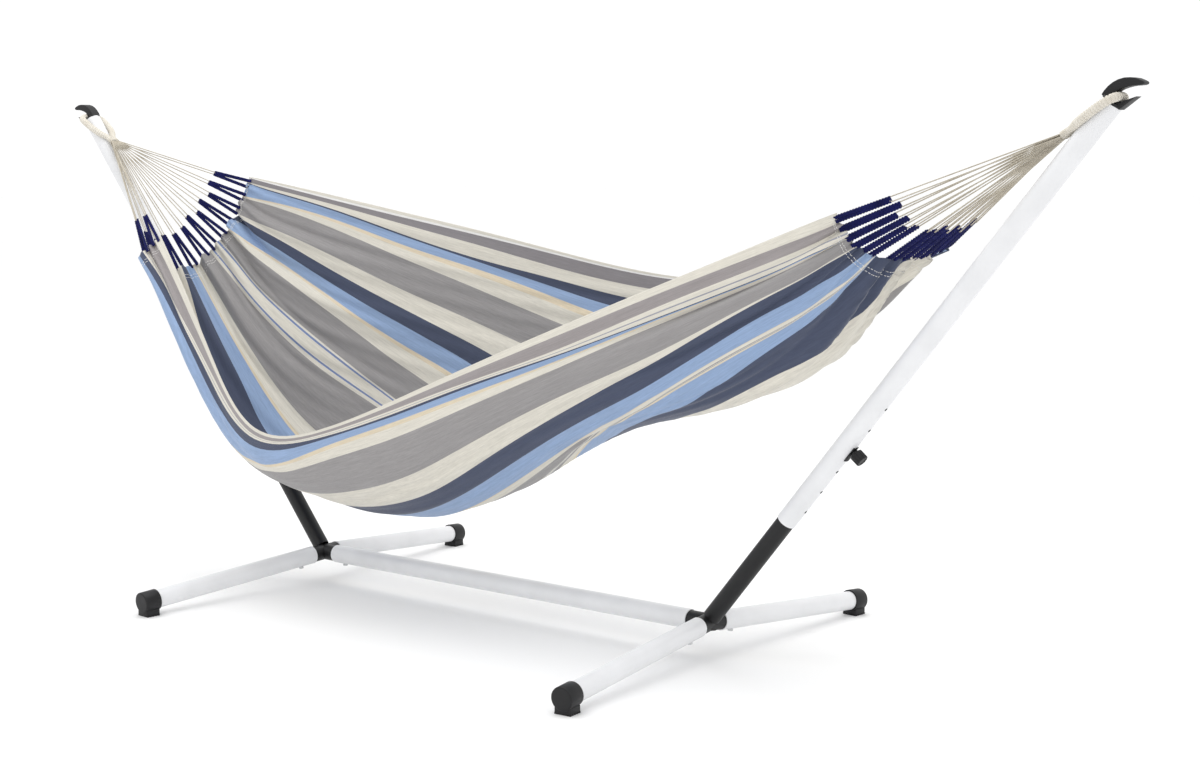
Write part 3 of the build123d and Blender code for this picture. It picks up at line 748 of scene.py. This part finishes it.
cloth_shape = bmesh.new()
weave = cloth_shape.loops.layers.uv.new("weave")
bmesh.ops.create_grid(cloth_shape, x_segments=ROWS, y_segments=COLUMNS, size=0.5)
for vertex in cloth_shape.verts:
    row, column = round((vertex.co.x + 0.5) * ROWS), round((vertex.co.y + 0.5) * COLUMNS)
    vertex.co.z = row * (COLUMNS + 1) + column
for face in cloth_shape.faces:
    for loop in face.loops:
        row, column = divmod(round(loop.vert.co.z), COLUMNS + 1)
        loop[weave].uv = (FLAT[0] * column / COLUMNS, FLAT[1] * steps[row])
for vertex in cloth_shape.verts:
    vertex.co = surface[divmod(round(vertex.co.z), COLUMNS + 1)]
mesh = bpy.data.meshes.new("striped_cloth")
cloth_shape.to_mesh(mesh)
cloth_shape.free()
mesh.shade_smooth()
cloth = bpy.data.objects.new("striped_cloth", mesh)
bpy.context.scene.collection.objects.link(cloth)
wall = cloth.modifiers.new("wall", "SOLIDIFY")
wall.thickness = 0.0016
wall.offset = 0

woven, tree, shader = plain_shader("woven_stripes")
YARNS = {"cream": (0.68, 0.65, 0.575), "white": (0.8, 0.79, 0.77), "sand": (0.68, 0.59, 0.44),
         "taupe": (0.31, 0.285, 0.285),
         "grey": (0.298, 0.287, 0.287), "navy": (0.056, 0.07, 0.12), "sky": (0.27, 0.375, 0.57),
         # The far taupe is the near taupe darkened: painted shade.
         "taupe_painted_shade": (0.24, 0.225, 0.235),
         "thread": (0.3, 0.31, 0.36), "blue thread": (0.17, 0.23, 0.42)}


def stripe_ramp(stripes, start, whole):
    """The yarn colours across one half of the cloth, by place across its whole width."""
    ramp = add_node(tree, "ShaderNodeValToRGB")
    ramp.color_ramp.interpolation = "CONSTANT"
    for i, (yarn, width) in enumerate(stripes):
        stop = ramp.color_ramp.elements[i] if i < 2 else ramp.color_ramp.elements.new(start / whole)
        stop.position = start / whole
        stop.color = (*YARNS[yarn], 1)
        start += width
    return ramp


uv = add_node(tree, "ShaderNodeUVMap", uv_map="weave")
split = add_node(tree, "ShaderNodeSeparateXYZ")
tree.links.new(uv.outputs["UV"], split.inputs[0])
place = add_node(tree, "ShaderNodeMath", operation="DIVIDE")
place.inputs[1].default_value = FLAT[0]
tree.links.new(split.outputs["X"], place.inputs[0])
near_ramp = stripe_ramp(NEAR_HALF, 0, 1540)
far_ramp = stripe_ramp(FAR_HALF, 770, 1540)
tree.links.new(place.outputs[0], near_ramp.inputs[0])
tree.links.new(place.outputs[0], far_ramp.inputs[0])
past_middle = add_node(tree, "ShaderNodeMath", operation="GREATER_THAN")
past_middle.inputs[1].default_value = 0.5
tree.links.new(place.outputs[0], past_middle.inputs[0])
stripes = add_node(tree, "ShaderNodeMix", data_type="RGBA")
tree.links.new(past_middle.outputs[0], stripes.inputs["Factor"])
tree.links.new(near_ramp.outputs["Color"], stripes.inputs[6])
tree.links.new(far_ramp.outputs["Color"], stripes.inputs[7])
stretch = add_node(tree, "ShaderNodeMapping")
stretch.inputs["Scale"].default_value = (1, 0.05, 1)
tree.links.new(uv.outputs["UV"], stretch.inputs["Vector"])
warp = add_node(tree, "ShaderNodeTexNoise", Scale=1100.0, Detail=3.0)
tree.links.new(stretch.outputs["Vector"], warp.inputs["Vector"])
slubs = add_node(tree, "ShaderNodeTexNoise", Scale=240.0, Detail=4.0)
tree.links.new(stretch.outputs["Vector"], slubs.inputs["Vector"])
shade = add_node(tree, "ShaderNodeMath", operation="ADD")
tree.links.new(warp.outputs["Fac"], shade.inputs[0])
tree.links.new(slubs.outputs["Fac"], shade.inputs[1])
depth = add_node(tree, "ShaderNodeMapRange")
depth.inputs["From Min"].default_value = 0.6
depth.inputs["From Max"].default_value = 1.4
depth.inputs["To Min"].default_value = 0.8
depth.inputs["To Max"].default_value = 1.14
tree.links.new(shade.outputs[0], depth.inputs["Value"])
yarn_colour = add_node(tree, "ShaderNodeVectorMath", operation="SCALE")
tree.links.new(stripes.outputs[2], yarn_colour.inputs[0])
tree.links.new(depth.outputs["Result"], yarn_colour.inputs["Scale"])
tree.links.new(yarn_colour.outputs["Vector"], shader.inputs["Base Color"])
weft = add_node(tree, "ShaderNodeTexWave", wave_type="BANDS", bands_direction="Y", Scale=250.0)
tree.links.new(uv.outputs["UV"], weft.inputs["Vector"])
ends_up = add_node(tree, "ShaderNodeTexWave", wave_type="BANDS", bands_direction="X", Scale=300.0)
tree.links.new(uv.outputs["UV"], ends_up.inputs["Vector"])
weave_height = add_node(tree, "ShaderNodeMath", operation="MULTIPLY_ADD")
tree.links.new(weft.outputs["Fac"], weave_height.inputs[0])
tree.links.new(ends_up.outputs["Fac"], weave_height.inputs[1])
tree.links.new(slubs.outputs["Fac"], weave_height.inputs[2])
bump = add_node(tree, "ShaderNodeBump", Strength=0.4, Distance=0.0004)
tree.links.new(weave_height.outputs[0], bump.inputs["Height"])
tree.links.new(bump.outputs["Normal"], shader.inputs["Normal"])
shader.inputs["Roughness"].default_value = 0.85
shader.inputs["Sheen Weight"].default_value = 0.2
shader.inputs["Sheen Roughness"].default_value = 0.4
cloth.data.materials.append(woven)
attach(cloth, "hammock")
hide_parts("hammock_cloth")


# Hem stitching: two rows of white thread through each heading, seen on both faces.
def on_cloth(from_end, side, across, lift):
    """A point on the cloth, by its distance from an end and its share across."""
    row = np.interp(from_end if side < 0 else knots[-1] - from_end, along, range(ROWS + 1))
    column = np.interp(across, share[int(row)], range(COLUMNS + 1))
    i, j = min(int(row), ROWS - 1), min(int(column), COLUMNS - 1)
    a, b = row - i, column - j
    weights = ((i, j, (1 - a) * (1 - b)), (i + 1, j, a * (1 - b)),
               (i, j + 1, (1 - a) * b), (i + 1, j + 1, a * b))
    return Vector(sum(weight * (surface[r, c] + normal[r, c] * lift) for r, c, weight in weights))


stitches = []
for side, count in ((-1, 96), (1, 70)):
    for from_end in (0.026, 0.034):
        for stitch in range(count):
            for lift in (-0.0011, 0.0011):
                start = (stitch + (0.5 if lift > 0 else 0)) / count
                spots = [start + 0.62 * part / count for part in (0, 0.5, 1)]
                if spots[-1] < 1:
                    heights = (lift * 0.5, lift * 1.25, lift * 0.5)
                    stitches.append([on_cloth(from_end, side, spot, height)
                                     for spot, height in zip(spots, heights)])
hem = round_cords("hem_stitches", stitches, 0.0009, sides=0)
white_thread = twisted_cotton("white_thread", (0.7, 0.69, 0.66), (0.86, 0.85, 0.83), 1500.0)
hem.data.materials.append(white_thread)
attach(hem, "hammock")

# Floor and light: a plain pale floor, a large soft light above and a weaker one in front.
pale, tree, shader = plain_shader("pale_floor")
shader.inputs["Base Color"].default_value = (0.95, 0.95, 0.95, 1)
shader.inputs["Roughness"].default_value = 0.8
floor_shape = bmesh.new()
bmesh.ops.create_grid(floor_shape, x_segments=1, y_segments=1, size=40)
mesh = bpy.data.meshes.new("floor")
floor_shape.to_mesh(mesh)
floor_shape.free()
mesh.materials.append(pale)
floor = bpy.data.objects.new("floor", mesh)
bpy.context.scene.collection.objects.link(floor)
for name, size, power, place in (("soft_top", 4, 75, (-0.3, 0.2, 4.2)),
                                 ("soft_front", 3, 8, (3, -4.5, 3))):
    light_data = bpy.data.lights.new(name, "AREA")
    light_data.size = size
    light_data.energy = power
    light = bpy.data.objects.new(name, light_data)
    light.location = place
    light.rotation_euler = (Vector((0, 0, 0.6)) - Vector(place)).to_track_quat("-Z", "Y").to_euler()
    bpy.context.scene.collection.objects.link(light)
world = bpy.data.worlds.new("studio")
world.use_nodes = True
world.node_tree.nodes["Background"].inputs["Color"].default_value = (1, 1, 1, 1)
world.node_tree.nodes["Background"].inputs["Strength"].default_value = 1.06
bpy.context.scene.world = world
bpy.context.scene.view_settings.view_transform = "Standard"
